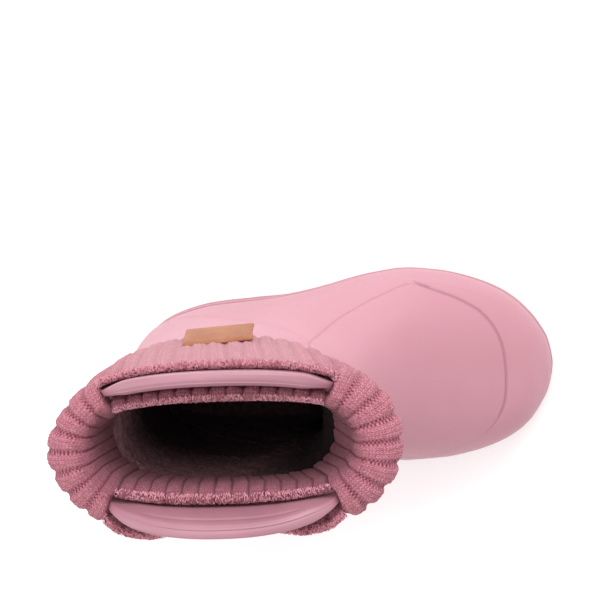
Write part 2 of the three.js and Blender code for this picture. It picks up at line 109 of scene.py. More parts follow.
# One row for each fan section, from the toe tip round the heel and up the shaft: X of its low and
# high ends, their heights, its half widths, and its form, as shares of the sizes above
ROW_NAMES = ("seat", "lift", "crown", "climb", "lateral", "medial",
             "foot_lateral", "foot_medial", "ridge", "widest", "full")
TOE_ROWS = (
    (1.000, 0, 1.000, 0.00, 0.001, 0.001, 0.000, 0.000, -0.010, 0.30, 2.3),
    (0.992, 0, 0.993, 0.36, 0.110, 0.108, 0.107, 0.106, -0.010, 0.35, 2.3),
    (0.973, 0, 0.973, 0.62, 0.198, 0.195, 0.191, 0.188, -0.010, 0.28, 2.3),
    (0.941, 0, 0.941, 0.86, 0.291, 0.289, 0.280, 0.278, -0.007, 0.25, 2.3),
    (0.895, 0, 0.895, 1.00, 0.378, 0.366, 0.363, 0.352, 0.000, 0.24, 2.3),
    (0.816, 0, 0.816, 1.12, 0.459, 0.435, 0.440, 0.417, 0.010, 0.20, 2.25),
    (0.735, 0, 0.735, 1.25, 0.506, 0.469, 0.485, 0.449, 0.020, 0.17, 2.2),
    (0.654, 0, 0.659, 1.40, 0.523, 0.474, 0.502, 0.454, 0.024, 0.15, 2.15),
    (0.573, 0, 0.611, 1.535, 0.502, 0.441, 0.482, 0.422, 0.018, 0.15, 2.1),
)
HEEL_ROWS = (
    (0.476, 0, 0.584, 1.658, 0.630, 0.532, 0.598, 0.500, 0.016, 0.18, 2.15),
    (0.378, 0, 0.566, 1.763, 0.578, 0.503, 0.540, 0.466, 0.008, 0.21, 2.2),
    (0.281, 0, 0.557, 1.842, 0.548, 0.497, 0.514, 0.466, 0, 0.27, 2.25),
    (0.195, 0, 0.552, 1.900, 0.536, 0.498, 0.494, 0.457, 0, 0.34, 2.3),
    (0.119, 0, 0.550, 1.944, 0.530, 0.502, 0.440, 0.415, 0, 0.40, 2.35),
    (0.065, 0, 0.549, 1.975, 0.525, 0.506, 0.363, 0.348, 0, 0.44, 2.4),
    (0.027, 0, 0.548, 2.000, 0.520, 0.508, 0.250, 0.242, 0, 0.46, 2.45),
    (0.007, 0, 0.547, 2.018, 0.516, 0.510, 0.131, 0.129, 0, 0.47, 2.45),
    (0.000, 0, 0.547, 2.029, 0.513, 0.511, 0, 0, 0, 0.48, 2.45),
)
SHAFT_ROWS = (
    (-0.002, 0.082, 0.546, 2.046, 0.494, 0.494, 0, 0, 0, 0.49, 2.45),
    (0.000, 0.197, 0.546, 2.068, 0.494, 0.494, 0, 0, 0, 0.50, 2.45),
    (0.006, 0.326, 0.546, 2.090, 0.494, 0.494, 0, 0, 0, 0.50, 2.45),
    (0.010, 0.455, 0.546, 2.112, 0.492, 0.492, 0, 0, 0, 0.50, 2.45),
    (0.009, 0.563, 0.547, 2.137, 0.492, 0.492, 0, 0, 0, 0.50, 2.45),
    (0.005, 0.670, 0.548, 2.179, 0.494, 0.494, 0, 0, 0, 0.50, 2.45),
    (0.001, 0.753, 0.554, 2.384, 0.500, 0.500, 0, 0, 0, 0.50, 2.45),
    (-0.008, 0.835, 0.568, 2.589, 0.497, 0.497, 0, 0, 0, 0.50, 2.4),
    (-0.018, 0.918, 0.589, 2.795, 0.481, 0.481, 0, 0, 0, 0.50, 2.4),
    (-0.027, 1.000, 0.614, 3.000, 0.461, 0.461, 0, 0, 0, 0.50, 2.4),
)
OPEN_ROWS = len(TOE_ROWS) + len(HEEL_ROWS) - 1
RIM_ROW = OPEN_ROWS + len(SHAFT_ROWS)
SHAFT_ROW_CLIMB = 0.2053
SHAFT_ROW_HEIGHT = (SHAFT_HEIGHT - INSTEP_HEIGHT) * SHAFT_ROW_CLIMB

# Moulded lines: row number, and turn from the section's widest point (0) to its crown (1)
CAP_LINE = ((6.80, -0.75), (6.72, -0.20), (6.66, 0.10), (6.58, 0.25), (5.97, 0.35), (5.29, 0.415),
            (4.74, 0.495), (4.36, 0.625), (4.12, 0.78), (4.04, 0.90), (4.02, 1.00))
VAMP_LINE = ((24.6, 0.50), (21.5, 0.46), (18, 0.44), (14.5, 0.437), (12.45, 0.435), (10.8, 0.407),
             (9.36, 0.372), (8.40, 0.362), (7.57, 0.342), (6.80, 0.28))

# A distance in millimetres beyond the reach of every moulded line
FAR = 99.0

# Fullness of the knit fold outside and inside the shell, for even steps round the rim
OUTER_FULLNESS = (7.2, 2.0, 2.1, 2.3, 2.4, 2.4, 2.8, 6.2, 8.2, 7.4, 6.4, 4.4, 3, 4.6, 6.8, 5.6, 7.2)
INNER_FULLNESS = (1.2, 1.6, 2.2, 2.6, 2.8, 2.6, 2, 0.6, 0, 0.6, 2.4, 4, 4.7, 4.7, 4.2, 2.8, 1.2)


def smooth_at(values, at):
    """Monotone cubic through values at whole numbers."""
    values = np.asarray(values, float)
    at = np.asarray(at, float)
    steps = np.diff(values)
    product = steps[:-1] * steps[1:]
    total = np.where(product > 0, steps[:-1] + steps[1:], 1)
    slopes = np.concatenate((
        [(3 * steps[0] - steps[1]) / 2],
        np.where(product > 0, 2 * product / total, 0),
        [(3 * steps[-1] - steps[-2]) / 2]))
    cell = np.clip(np.floor(at), 0, len(values) - 2).astype(int)
    u = np.clip(at - cell, 0, 1)
    rise = values[cell + 1] - values[cell]
    bend = rise * u * u * (3 - 2 * u)
    return (values[cell] + bend + slopes[cell] * u * (1 - u) ** 2
            - slopes[cell + 1] * u * u * (1 - u))


def mix(low, high, share):
    return low + (high - low) * share


def ease(start, end, x):
    u = np.clip((np.asarray(x, float) - start) / (end - start), 0, 1)
    return u * u * (3 - 2 * u)


def joint_height(along):
    back = mix(HEEL_JOINT, ARCH_JOINT, ease(0, 0.35, along))
    middle = mix(back, BALL_JOINT, ease(0.35, 0.65, along))
    return mix(middle, TOE_JOINT, ease(0.72, 1, along))


def climb_height(climb):
    if climb <= 1:
        return mix(TOE_JOINT, TOE_HEIGHT, climb)
    if climb <= 2:
        return mix(TOE_HEIGHT, INSTEP_HEIGHT, climb - 1)
    return mix(INSTEP_HEIGHT, SHAFT_HEIGHT, climb - 2)


def fan_columns():
    columns = {name: [] for name in ROW_NAMES}
    for rows, width in ((TOE_ROWS, BALL_WIDTH), (HEEL_ROWS, HEEL_WIDTH), (SHAFT_ROWS, SHAFT_WIDTH)):
        for cells in rows:
            for name, value in zip(ROW_NAMES, cells):
                if name in ("seat", "crown"):
                    value = value * SOLE_LENGTH
                elif name == "climb":
                    value = climb_height(value)
                elif name not in ("lift", "widest", "full"):
                    value = value * width
                columns[name].append(value)
    return columns


FAN = fan_columns()


def sections_at(rows):
    section = {name: smooth_at(values, rows) for name, values in FAN.items()}
    joint = joint_height(section["seat"] / SOLE_LENGTH)
    section["seat_z"] = mix(joint, SHAFT_HEIGHT, section["lift"])
    return section


def section_points(section, side, turn):
    """Points of the outer skin: turn runs from -1 at the foot to 1 at the crown."""
    lateral = side > 0
    half = np.where(lateral, section["lateral"], section["medial"])
    foot = np.where(lateral, section["foot_lateral"], section["foot_medial"])
    power = 2 / section["full"]
    foot_angle = np.arccos(np.clip(foot / half, 0, 1) ** (1 / power))
    up = turn >= 0
    angle = np.where(up, turn * pi / 2, -turn * foot_angle)
    reach = np.abs(np.cos(angle)) ** power
    swing = np.abs(np.sin(angle)) ** power
    foot_swing = np.maximum(np.sin(foot_angle), 1e-9) ** power
    widest = section["widest"]
    share = np.where(up, mix(widest, 1, swing), widest * (1 - swing / foot_swing))
    shift = np.where(up, section["ridge"] * swing, 0)
    return np.stack(np.broadcast_arrays(
        mix(section["seat"], section["crown"], share),
        side * half * np.where(turn >= 1, 0, reach) + shift,
        mix(section["seat_z"], section["climb"], share)), -1)


def round_turns(steps, low_share=0.2):
    low = round(steps * low_share / 2)
    high = steps // 2 - low
    half = np.concatenate((-1 + np.arange(low) / low, np.arange(high) / high))
    turns = np.concatenate((half, [1], half[::-1]))
    sides = np.concatenate((np.ones(len(half) + 1), -np.ones(len(half))))
    return sides, turns


def even_rows(count, first=0.0, last=RIM_ROW):
    """Rows spaced evenly along the middle of the skin."""
    steps = 900
    fine = np.linspace(first, last, steps)
    section = sections_at(fine)
    path = sum(section_points(section, side, np.full(steps, turn))
               for side, turn in ((1, 0.15), (1, 0.7), (1, 1.0), (1, -0.9)))
    length = np.concatenate(([0], np.cumsum(np.linalg.norm(np.diff(path, axis=0), axis=1))))
    rows = np.interp(np.linspace(0, length[-1], count), length, fine)
    if first < OPEN_ROWS < last:
        rows[np.argmin(np.abs(rows - OPEN_ROWS))] = OPEN_ROWS
    return rows


def skin_grid(rows, sides, turns):
    section = {name: values[:, None] for name, values in sections_at(rows).items()}
    return section_points(section, sides[None, :], turns[None, :])


def grid_normals(points, closed):
    """Outward normals of a skin grid, its seam rows wrapped round the back."""
    along = np.gradient(points, axis=0)
    across = np.gradient(points, axis=1)
    wrapped = points[closed, 1] - points[closed, -2]
    across[closed, 0] = wrapped / 2
    across[closed, -1] = wrapped / 2
    seam = (along[closed, 0] + along[closed, -1]) / 2
    along[closed, 0] = seam
    along[closed, -1] = seam
    normals = np.cross(along, across)
    size = np.linalg.norm(normals, axis=2, keepdims=True)
    return normals / np.maximum(size, 1e-9)


def rim_walk(steps=2000):
    """Walk round the rim from its back: shares of its length, the places there, and its length."""
    section = sections_at(RIM_ROW)
    place = np.linspace(0, 1, steps + 1)
    turn = 1 - np.abs(1 - 2 * place) * 2
    side = np.where(place <= 0.5, 1.0, -1.0)
    points = section_points(section, side, turn)
    length = np.concatenate(([0], np.cumsum(np.linalg.norm(np.diff(points, axis=0), axis=1))))
    return length / length[-1], place, length[-1]


RIM_SHARE, RIM_PLACE, RIM_LENGTH = rim_walk()


def shaft_points(around, offset, height):
    """Points off the shaft's skin, level out from it, for arrays that fit one shape."""
    around, offset, height = np.broadcast_arrays(around, offset, height)
    level = np.minimum(height, SHAFT_HEIGHT)
    section = sections_at(RIM_ROW - (SHAFT_HEIGHT - level) / SHAFT_ROW_HEIGHT)

    def skin(share):
        place = np.interp(share % 1, RIM_SHARE, RIM_PLACE)
        turn = 1 - np.abs(1 - 2 * place) * 2
        return section_points(section, np.where(place <= 0.5, 1.0, -1.0), turn)

    step = 0.004
    here, ahead, behind = skin(around), skin(around + step), skin(around - step)
    out = np.stack((behind[..., 1] - ahead[..., 1], ahead[..., 0] - behind[..., 0],
                    np.zeros_like(level)), -1)
    out /= np.linalg.norm(out, axis=-1, keepdims=True)
    centre = np.stack(((section["seat"] + section["crown"]) / 2,
                       np.zeros_like(level), here[..., 2]), -1)
    inward = np.sum(out * (here - centre), -1, keepdims=True) < 0
    out = np.where(inward, -out, out)
    points = here + out * offset[..., None]
    points[..., 2] = height
    return points


def to_frame(points):
    """Millimetres from the heel's back to metres from the frame's origin."""
    moved = np.array(points, float).reshape(-1, 3)
    moved[:, 0] -= HEEL_CENTRE
    return moved * MM


def new_piece(name, points, faces, uv=None, layers=None):
    """Mesh object from points in millimetres and quads, welded, with its faces turned out."""
    mesh = bpy.data.meshes.new(name)
    coords = to_frame(points)
    mesh.vertices.add(len(coords))
    mesh.vertices.foreach_set("co", coords.ravel())
    faces = np.asarray(faces)
    mesh.loops.add(faces.size)
    mesh.loops.foreach_set("vertex_index", faces.ravel())
    mesh.polygons.add(len(faces))
    mesh.polygons.foreach_set("loop_start", np.arange(len(faces)) * 4)
    mesh.polygons.foreach_set("loop_total", np.full(len(faces), 4))
    mesh.update()
    if uv is not None:
        layer = mesh.uv_layers.new(name="UVMap")
        layer.data.foreach_set("uv", np.asarray(uv, float).reshape(-1, 2).ravel())
    for key, values in (layers or {}).items():
        mesh.attributes.new(key, "FLOAT", "POINT").data.foreach_set("value", np.ravel(values))
    mesh.validate()
    work = bmesh.new()
    work.from_mesh(mesh)
    bmesh.ops.remove_doubles(work, verts=work.verts, dist=1e-6)
    bmesh.ops.dissolve_degenerate(work, edges=work.edges, dist=1e-7)
    bmesh.ops.recalc_face_normals(work, faces=work.faces)
    if work.calc_volume(signed=True) < 0:
        bmesh.ops.reverse_faces(work, faces=work.faces)
    work.to_mesh(mesh)
    work.free()
    mesh.shade_smooth()
    piece = bpy.data.objects.new(name, mesh)
    bpy.context.scene.collection.objects.link(piece)
    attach(piece, "root")
    return piece


def grid_faces(rows, columns, wrap_rows=False, wrap_columns=False, start=0):
    i = np.arange(rows if wrap_rows else rows - 1)[:, None]
    j = np.arange(columns if wrap_columns else columns - 1)[None, :]
    i2, j2 = (i + 1) % rows, (j + 1) % columns
    quads = np.stack(np.broadcast_arrays(
        i * columns + j, i2 * columns + j, i2 * columns + j2, i * columns + j2), -1)
    return quads.reshape(-1, 4) + start


def cap_faces(ring, count):
    """Strip of quads from side to side across one ring of points."""
    j = np.arange(count // 2)
    quads = np.stack((j, (j + 1) % count, (2 * count - j - 1) % count, (count - j) % count), -1)
    return quads + ring * count


def wall_piece(name, outer, inner, closed, layers=None):
    """Closed solid from an outer and an inner skin, open underneath and at the rim."""
    rows, columns = outer.shape[:2]
    size = rows * columns
    faces = [grid_faces(rows, columns), grid_faces(rows, columns, start=size)[:, ::-1]]
    strips = []
    for i in range(rows - 1):
        if not closed[i]:
            for j in (0, columns - 1):
                low, high = i * columns + j, (i + 1) * columns + j
                strips.append((low, high, high + size, low + size))
    for i in (0, rows - 1):
        for j in range(columns - 1):
            low = i * columns + j
            strips.append((low, low + 1, low + 1 + size, low + size))
    faces.append(np.array(strips))
    points = np.concatenate((outer.reshape(-1, 3), inner.reshape(-1, 3)))
    doubled = {key: np.concatenate((values.ravel(), np.full(size, FAR)))
               for key, values in (layers or {}).items()}
    return new_piece(name, points, np.concatenate(faces), layers=doubled)


# Materials

def linear(red, green, blue):
    """Scene colour from a screen colour in 0 to 255."""
    value = np.array((red, green, blue)) / 255
    out = np.where(value <= 0.04045, value / 12.92, ((value + 0.055) / 1.055) ** 2.4)
    return (*out.tolist(), 1.0)


class Shader:
    """A material and short ways to add nodes to it."""

    def __init__(self, name, colour, roughness, **sockets):
        self.material = bpy.data.materials.new(name)
        self.material.use_nodes = True
        self.tree = self.material.node_tree
        self.surface = self.tree.nodes["Principled BSDF"]
        self.surface.inputs["Base Color"].default_value = colour
        self.surface.inputs["Roughness"].default_value = roughness
        for key, value in sockets.items():
            self.surface.inputs[key.replace("_", " ")].default_value = value

    def add(self, kind, inputs=None, **settings):
        node = self.tree.nodes.new("ShaderNode" + kind)
        for key, value in settings.items():
            setattr(node, key, value)
        for key, value in (inputs or {}).items():
            self.feed(node.inputs[key], value)
        return node

    def feed(self, socket, value):
        if isinstance(value, bpy.types.NodeSocket):
            self.tree.links.new(value, socket)
        else:
            socket.default_value = value

    def math(self, operation, a, b=0.0):
        node = self.add("Math", operation=operation)
        self.feed(node.inputs[0], a)
        self.feed(node.inputs[1], b)
        return node.outputs[0]

    def times(self, a, b):
        return self.math("MULTIPLY", a, b)

    def wave(self, value, pace=pi):
        """Half waves between 0 and 1."""
        return self.math("ABSOLUTE", self.math("SINE", self.times(value, pace)))

    def blend(self, share, a, b):
        """Two colours mixed. The node's sockets go by number, because their names repeat."""
        node = self.add("Mix", data_type="RGBA")
        self.feed(node.inputs[0], share)
        self.feed(node.inputs[6], a)
        self.feed(node.inputs[7], b)
        return node.outputs[2]

    def mottle(self, pattern, first, second, low=0.35, high=0.65):
        """Two screen colours mixed by a pattern."""
        return self.blend(self.range(pattern, low, high), linear(*first), linear(*second))

    def tint(self, tone, share, amount, colour):
        """A screen colour laid over a tone, by an amount of a share."""
        return self.blend(self.times(share, amount), tone, linear(*colour))

    def range(self, value, low, high, to_low=0.0, to_high=1.0):
        node = self.add("MapRange", interpolation_type="SMOOTHSTEP")
        for index, item in enumerate((value, low, high, to_low, to_high)):
            self.feed(node.inputs[index], item)
        return node.outputs[0]

    def layer(self, name):
        return self.add("Attribute", attribute_name=name).outputs["Fac"]

    def place(self):
        return self.add("TexCoord").outputs["Object"]

    def split(self, vector):
        return self.add("SeparateXYZ", {"Vector": vector}).outputs

    def noise(self, scale, detail=3.0, roughness=0.5):
        return self.add("TexNoise", {"Vector": self.place(), "Scale": scale, "Detail": detail,
                                     "Roughness": roughness}).outputs["Fac"]

    def bump(self, height, distance, strength):
        return self.add("Bump", {"Height": height, "Distance": distance,
                                 "Strength": strength}).outputs["Normal"]

    def finish(self, colour=None, roughness=None, normal=None):
        for key, value in (("Base Color", colour), ("Roughness", roughness), ("Normal", normal)):
            if value is not None:
                self.feed(self.surface.inputs[key], value)
        return self.material


def shell_material():
    shader = Shader("moulded_pink", linear(187, 136, 147), 0.46, IOR=1.45)
    cap = shader.math("ABSOLUTE", shader.layer("cap_distance"))
    vamp = shader.math("ABSOLUTE", shader.layer("vamp_distance"))
    parting = shader.math("ABSOLUTE", shader.layer("parting_distance"))
    cap_line = shader.times(shader.range(cap, 0.15, 0.85, 1, 0), shader.layer("line_depth"))
    vamp_line = shader.range(vamp, 0.15, 0.8, 0.55, 0)
    parting_line = shader.range(parting, 0.05, 0.35, 0.10, 0)
    groove = shader.math("MAXIMUM", cap_line, vamp_line)
    grain = shader.noise(900, 4)
    height = shader.math("SUBTRACT", shader.times(grain, 0.05), groove)
    normal = shader.bump(shader.math("ADD", height, parting_line), 0.0004, 0.8)
    tone = shader.mottle(shader.noise(18, 3), (189, 135, 147), (184, 129, 141))
    # Painted shade darkens the moulded grooves
    tone = shader.tint(tone, groove, 0.5, (150, 94, 108))
    return shader.finish(tone, shader.range(grain, 0.3, 0.7, 0.44, 0.54), normal)


def handle_material():
    shader = Shader("handle_pink", linear(184, 140, 152), 0.34, IOR=1.47)
    grain = shader.noise(1200, 3)
    tone = shader.mottle(shader.noise(35, 2), (172, 122, 135), (163, 113, 126))
    normal = shader.bump(grain, 0.00005, 0.4)
    return shader.finish(tone, shader.range(grain, 0.3, 0.7, 0.3, 0.4), normal)


def sole_material():
    shader = Shader("sole_pink", linear(188, 142, 152), 0.6)
    grain = shader.noise(700, 5, 0.6)
    tone = shader.mottle(shader.noise(25, 3), (187, 137, 148), (179, 128, 139))
    parts = shader.split(shader.place())
    stripes = shader.range(shader.wave(parts[0], pi / SIPE_PITCH), 0.12, 0.4, 1, 0)
    sipe = shader.times(stripes, shader.range(parts[2], 0.0012, 0.0006))
    height = shader.math("SUBTRACT", shader.times(grain, 0.3), sipe)
    rough = shader.range(grain, 0.3, 0.7, 0.52, 0.7)
    return shader.finish(tone, rough, shader.bump(height, 0.0004, 0.7))


def knit_material():
    """Rib knit on a map of rib number and millimetres along the fold: columns of V stitches on the
    ribs, and open columns with holes in the channels between them. Painted shade darkens the
    stitch gaps, the purl columns, their holes, the channels and the inside of the fold, and
    painted light lightens the lateral outer flap."""
    shader = Shader("knit_pink", linear(214, 136, 152), 0.95,
                    Sheen_Weight=0.06, Sheen_Roughness=0.5)
    parts = shader.split(shader.add("UVMap", uv_map="UVMap").outputs["UV"])
    rib, run = parts[0], parts[1]
    wander = shader.times(shader.math("SUBTRACT", shader.noise(300, 3, 0.6), 0.5), 0.9)
    wale = shader.times(rib, STITCH_WALES)
    column = shader.math("FRACT", shader.math("ADD", wale, shader.times(wander, 0.35)))
    side = shader.math("ABSOLUTE", shader.math("SUBTRACT", column, 0.5))
    course = shader.math("ADD", shader.math("DIVIDE", run, STITCH_PITCH), wander)
    leg = shader.wave(shader.math("ADD", course, shader.times(side, 1.5)))
    rope = shader.range(side, 0.5, 0.3)
    core = shader.range(side, 0.0, 0.1, 0.45, 1.0)
    stitch = shader.times(shader.times(leg, rope), core)
    stagger = shader.times(shader.math("FLOOR", shader.times(wale, 1.3)), 0.5)
    bar = shader.wave(shader.math("ADD", shader.times(course, 0.8), stagger))
    across = shader.math("ABSOLUTE", shader.math("SUBTRACT", shader.math("FRACT", rib), 0.5))
    inside = shader.layer("inside")
    purl = shader.times(shader.range(across, 0.27, 0.38), shader.range(inside, 0, 1, 1, 0.15))
    plain = shader.math("SUBTRACT", 1.0, purl)
    uneven = shader.range(shader.noise(420, 2), 0.36, 0.52, 0.5, 1)
    hole_shade = shader.times(shader.times(shader.range(bar, 0.9, 0.45), purl), uneven)

    height = shader.math("ADD", shader.times(stitch, plain),
                         shader.times(shader.times(bar, purl), 0.5))
    painted_light_flap = shader.layer("painted_light_flap")
    height = shader.times(height, shader.range(painted_light_flap, 0, 1, 1, 0.4))
    fuzz = shader.times(shader.noise(1300, 5, 0.75), 0.8)
    normal = shader.bump(shader.math("ADD", height, fuzz), 0.0008, 1.0)

    tone = shader.mottle(shader.noise(500, 4, 0.7), (240, 157, 172), (220, 132, 149))
    # Painted shade in the gaps between the V stitches
    stitch_gap_shade = shader.times(shader.range(stitch, 0.7, 0.1), plain)
    tone = shader.tint(tone, stitch_gap_shade, 0.55, (146, 68, 88))
    speck = shader.range(shader.noise(1500, 3, 0.7), 0.5, 0.64)
    tone = shader.tint(tone, speck, 0.35, (150, 72, 92))
    # Painted shade on the purl columns, and darker painted shade in their holes
    tone = shader.tint(tone, purl, 0.45, (158, 84, 102))
    tone = shader.tint(tone, hole_shade, 0.9, (92, 32, 48))
    # Painted shade along the middle of the channels between ribs
    tone = shader.blend(shader.range(across, 0.38, 0.5, 0, 0.35), tone, linear(140, 66, 86))
    # Painted shade in the channel creases and over the inside of the fold
    crease_shade = shader.range(across, 0.36, 0.5, 0, 0.7)
    tone = shader.tint(tone, crease_shade, inside, (108, 46, 62))
    tone = shader.tint(tone, inside, 0.58, (124, 54, 72))
    # Painted light lightens the lateral outer flap
    tone = shader.tint(tone, painted_light_flap, 0.64, (200, 151, 158))
    knot = shader.range(shader.noise(520, 3, 0.6), 0.5, 0.62)
    knot = shader.times(knot, shader.layer("ridge"))
    tone = shader.tint(tone, knot, 0.35, (150, 78, 98))
    return shader.finish(tone, None, normal)


def yarn_material():
    shader = Shader("yarn_pink", linear(214, 146, 160), 0.9,
                    Sheen_Weight=0.15, Sheen_Roughness=0.5)
    heather = shader.noise(700, 3, 0.7)
    tone = shader.mottle(heather, (226, 160, 174), (206, 136, 151), 0.36, 0.64)
    return shader.finish(tone, None, shader.bump(shader.noise(3000, 2), 0.0001, 0.6))


def fleece_material():
    """Curled grey fleece, taken towards black by painted shade low in the shaft and forward in the
    foot.
    """
    shader = Shader("fleece_grey", linear(112, 102, 106), 0.95, Sheen_Weight=0.02,
                    Sheen_Roughness=0.6, Specular_IOR_Level=0.05)
    curl = shader.noise(420, 5, 0.7)
    tone = shader.mottle(curl, (122, 86, 92), (166, 124, 132))
    cloud = shader.range(shader.noise(60, 3), 0.3, 0.7, 0, 0.3)
    tone = shader.blend(cloud, tone, linear(142, 104, 111))
    parts = shader.split(shader.place())
    # Painted shade: the fleece goes towards black low in the shaft and forward in the foot
    painted_cavity_shade = shader.math("MAXIMUM", shader.range(parts[2], 0.125, 0.075, 0, 0.85),
                         shader.range(parts[0], 0.01, 0.055, 0, 0.96))
    tone = shader.blend(painted_cavity_shade, tone, linear(12, 7, 7))
    return shader.finish(tone, None, shader.bump(curl, 0.0014, 0.9))


def leather_material():
    shader = Shader("tan_leather", linear(226, 160, 122), 0.55)
    pores = shader.noise(1500, 4, 0.65)
    cloud = shader.noise(90, 4, 0.6)
    tone = shader.mottle(cloud, (163, 104, 68), (148, 88, 55), 0.3, 0.7)
    rough = shader.range(pores, 0.3, 0.7, 0.45, 0.65)
    return shader.finish(tone, rough, shader.bump(pores, 0.00015, 0.6))


def floor_material():
    shader = Shader("studio_floor", (0.97, 0.95, 0.95, 1), 0.7, Emission_Strength=0.1)
    shader.surface.inputs["Emission Color"].default_value = (1, 0.98, 0.98, 1)
    grain = shader.noise(40, 2)
    return shader.finish(shader.blend(grain, (0.96, 0.935, 0.94, 1), (0.975, 0.95, 0.955, 1)))


# The moulded shell

SHELL_ROWS = 210
SHELL_ROUND = 176
CAP_STEP = 0.3
CAP_GROOVE = 0.32
VAMP_GROOVE = 0.2
GROOVE_WIDTH = 0.8


def line_curve(line, steps=240):
    """Densely spaced points of a moulded line on the lateral side, then on the medial side."""
    table = np.array(line)
    at = np.linspace(0, len(line) - 1, steps)
    rows = smooth_at(table[:, 0], at)
    turns = smooth_at(table[:, 1], at)
    section = sections_at(rows)
    return np.concatenate([section_points(section, np.full(steps, side), turns)
                           for side in (1.0, -1.0)])


def distance_to(points, line):
    flat = points.reshape(-1, 3)
    nearest = np.full(len(flat), FAR)
    for part in np.array_split(np.arange(len(flat)), 40):
        gaps = np.linalg.norm(flat[part, None, :] - line[None, :, :], axis=2)
        nearest[part] = gaps.min(axis=1)
    return nearest.reshape(points.shape[:2])


def build_shell():
    sides, turns = round_turns(SHELL_ROUND)
    rows = even_rows(SHELL_ROWS)
    closed = rows >= OPEN_ROWS
    outer = skin_grid(rows, sides, turns)
    outer[0] = outer[0, 0]
    normals = grid_normals(outer, closed)
    normals[0] = (1, 0, 0)
    inner = outer - normals * WALL
    feet = ~closed
    for j in (0, -1):
        inner[feet, j, 2] = joint_height(inner[feet, j, 0] / SOLE_LENGTH)

    cap = distance_to(outer, line_curve(CAP_LINE))
    vamp = distance_to(outer, line_curve(VAMP_LINE))
    cap_table = np.array(CAP_LINE)
    cap_row = np.interp(turns, cap_table[:, 1], cap_table[:, 0])
    in_cap = rows[:, None] < cap_row[None, :]
    vamp_table = np.array(VAMP_LINE)[::-1]
    above_vamp = turns[None, :] > np.interp(rows, vamp_table[:, 0], vamp_table[:, 1])[:, None]
    flat_turn, medial = turns[None, :], sides[None, :] < 0
    medial_fade = np.where(medial, mix(0.12, 1, ease(0.42, 0.72, flat_turn)), 1)
    fade = mix(0.08, 1, ease(0.21, 0.29, flat_turn)) * medial_fade
    step = CAP_STEP * np.where(in_cap, 1, -1) * np.clip(cap / 1.2, 0, 1) * np.exp(-cap / 9) * fade
    dent = -CAP_GROOVE * np.exp(-(cap / GROOVE_WIDTH) ** 2) * fade
    dent = dent - VAMP_GROOVE * np.exp(-(vamp / GROOVE_WIDTH) ** 2)
    outer = outer + normals * (step + dent)[..., None]

    ridge = sections_at(rows)["ridge"][:, None]
    layers = {"cap_distance": np.where(in_cap, cap, -cap),
              "vamp_distance": np.where(above_vamp, vamp, -vamp),
              "parting_distance": np.where(turns[None, :] > 0.9, outer[..., 1] - ridge, FAR),
              "line_depth": np.broadcast_to(fade, cap.shape)}
    piece = wall_piece("shell", outer, inner, closed, layers)
    piece.data.materials.append(shell_material())
    return piece


# Pull handles. Columns: height in shares of the crest's, or of the root's below the rim, and
# distance out from the shaft's skin in shares of the thickness.

HANDLE_PROFILE = (
    (-1.0, -0.12), (0.0, -0.02), (0.12, 0.10), (0.30, 0.13), (0.55, 0.14), (0.80, 0.135),
    (0.90, 0.11), (0.955, 0.05), (0.985, -0.04), (0.998, -0.14), (1.0, -0.36), (0.995, -0.54),
    (0.974, -0.58), (0.99, -0.62), (0.984, -0.68), (0.955, -0.72), (0.94, -0.76), (0.92, -0.81),
    (0.88, -0.85), (0.82, -0.86), (0.785, -0.86), (0.765, -0.845), (0.745, -0.74), (0.725, -0.74),
    (0.705, -0.845), (0.68, -0.86), (0.50, -0.85), (0.30, -0.84), (0.12, -0.80), (0.0, -0.62),
    (-1.0, -0.55),
)
HANDLE_STEPS = 150
HANDLE_MIDDLE = -0.36
HANDLE_INNER = -0.86
GROOVE_POINTS = (21, 22, 23, 24)


def handle_points(mirror, along, skin, height):
    share = mix(HANDLE_BACK, HANDLE_FRONT, (along + 1) / 2) / 2
    crest_lean = MEDIAL_LEAN if mirror else HANDLE_LEAN
    lean = crest_lean * (np.maximum(height, 0) / HANDLE_RISE) ** 1.6
    around = 1 - share if mirror else share
    flare = END_FLARE * np.abs(along) ** 2.5 * ease(-4, 3, height)
    return shaft_points(around, skin * HANDLE_THICKNESS + lean + flare, SHAFT_HEIGHT + height)


def build_handle(name, mirror):
    ends = np.linspace(-pi / 2, pi / 2, HANDLE_STEPS)
    along = np.sin(ends)[:, None]
    arch = np.clip(1 - np.abs(along) ** HANDLE_ARCH, 0, 1) ** (1 / HANDLE_ARCH)
    crest = mix(HANDLE_END_RISE, HANDLE_RISE, arch)
    table = np.array(HANDLE_PROFILE)
    level = np.repeat(table[None, :, 0], HANDLE_STEPS, axis=0)
    skin = np.repeat(table[None, :, 1], HANDLE_STEPS, axis=0)
    plain = ease(0.55, 0.72, np.abs(along[:, 0]))
    for index in GROOVE_POINTS:
        skin[:, index] = mix(skin[:, index], HANDLE_INNER, plain)
    height = np.where(level < 0, level * HANDLE_ROOT, level * crest)
    slim = 1 - 0.55 * ease(0.72, 1, np.abs(along))
    skin = HANDLE_MIDDLE + (skin - HANDLE_MIDDLE) * slim
    points = handle_points(mirror, along, skin, height)
    count = len(HANDLE_PROFILE)
    if count % 2:
        points = np.concatenate((points, points[:, -1:] * 0.5 + points[:, :1] * 0.5), axis=1)
        count += 1
    faces = np.concatenate((
        grid_faces(HANDLE_STEPS, count, wrap_columns=True),
        cap_faces(0, count), cap_faces(HANDLE_STEPS - 1, count)))
    piece = new_piece(name, points, faces)
    piece.data.materials.append(handle_material())
    return piece


# The outsole. Its side: share of the way down, and distance out in shares of the step's depth.

SOLE_SIDE = (
    (0.00, 0.05), (0.03, 0.2), (0.28, 0.05), (0.33, -0.1), (0.355, -0.85), (0.40, -0.9),
    (0.46, -0.85), (0.485, -0.1), (0.52, 0.0), (0.70, -0.35), (0.88, -0.85), (0.96, -1.25),
    (1.00, -1.8),
)
